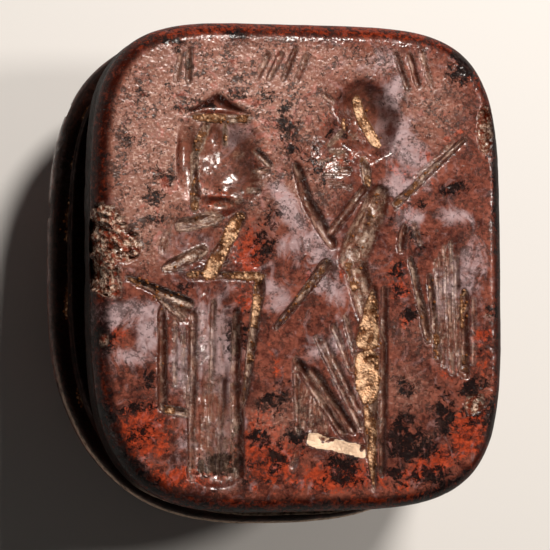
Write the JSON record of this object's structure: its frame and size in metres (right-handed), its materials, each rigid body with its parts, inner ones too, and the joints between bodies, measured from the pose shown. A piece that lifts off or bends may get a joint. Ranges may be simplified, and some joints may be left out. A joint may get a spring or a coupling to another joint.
{
  "type": "stamp seal",
  "caption": "Oval stone stamp seal: a plain beetle carrying a flat rounded-rectangle face that is engraved with two facing standing figures, lying on its back.",
  "frame": {"origin": "middle of the flat spot under the beetle's back, below the middle of the whole stone", "axes": "+Z out of the engraved face, +Y towards the heads of the figures and of the beetle, +X to the right of the engraved scene"},
  "size_m": [0.0174, 0.0193, 0.0106],
  "materials": {
    "jasper": "polished, mottled red-brown jasper with black specks, worn"
  },
  "bodies": {
    "root": {"seal_stone": "jasper"}
  },
  "joints": []
}
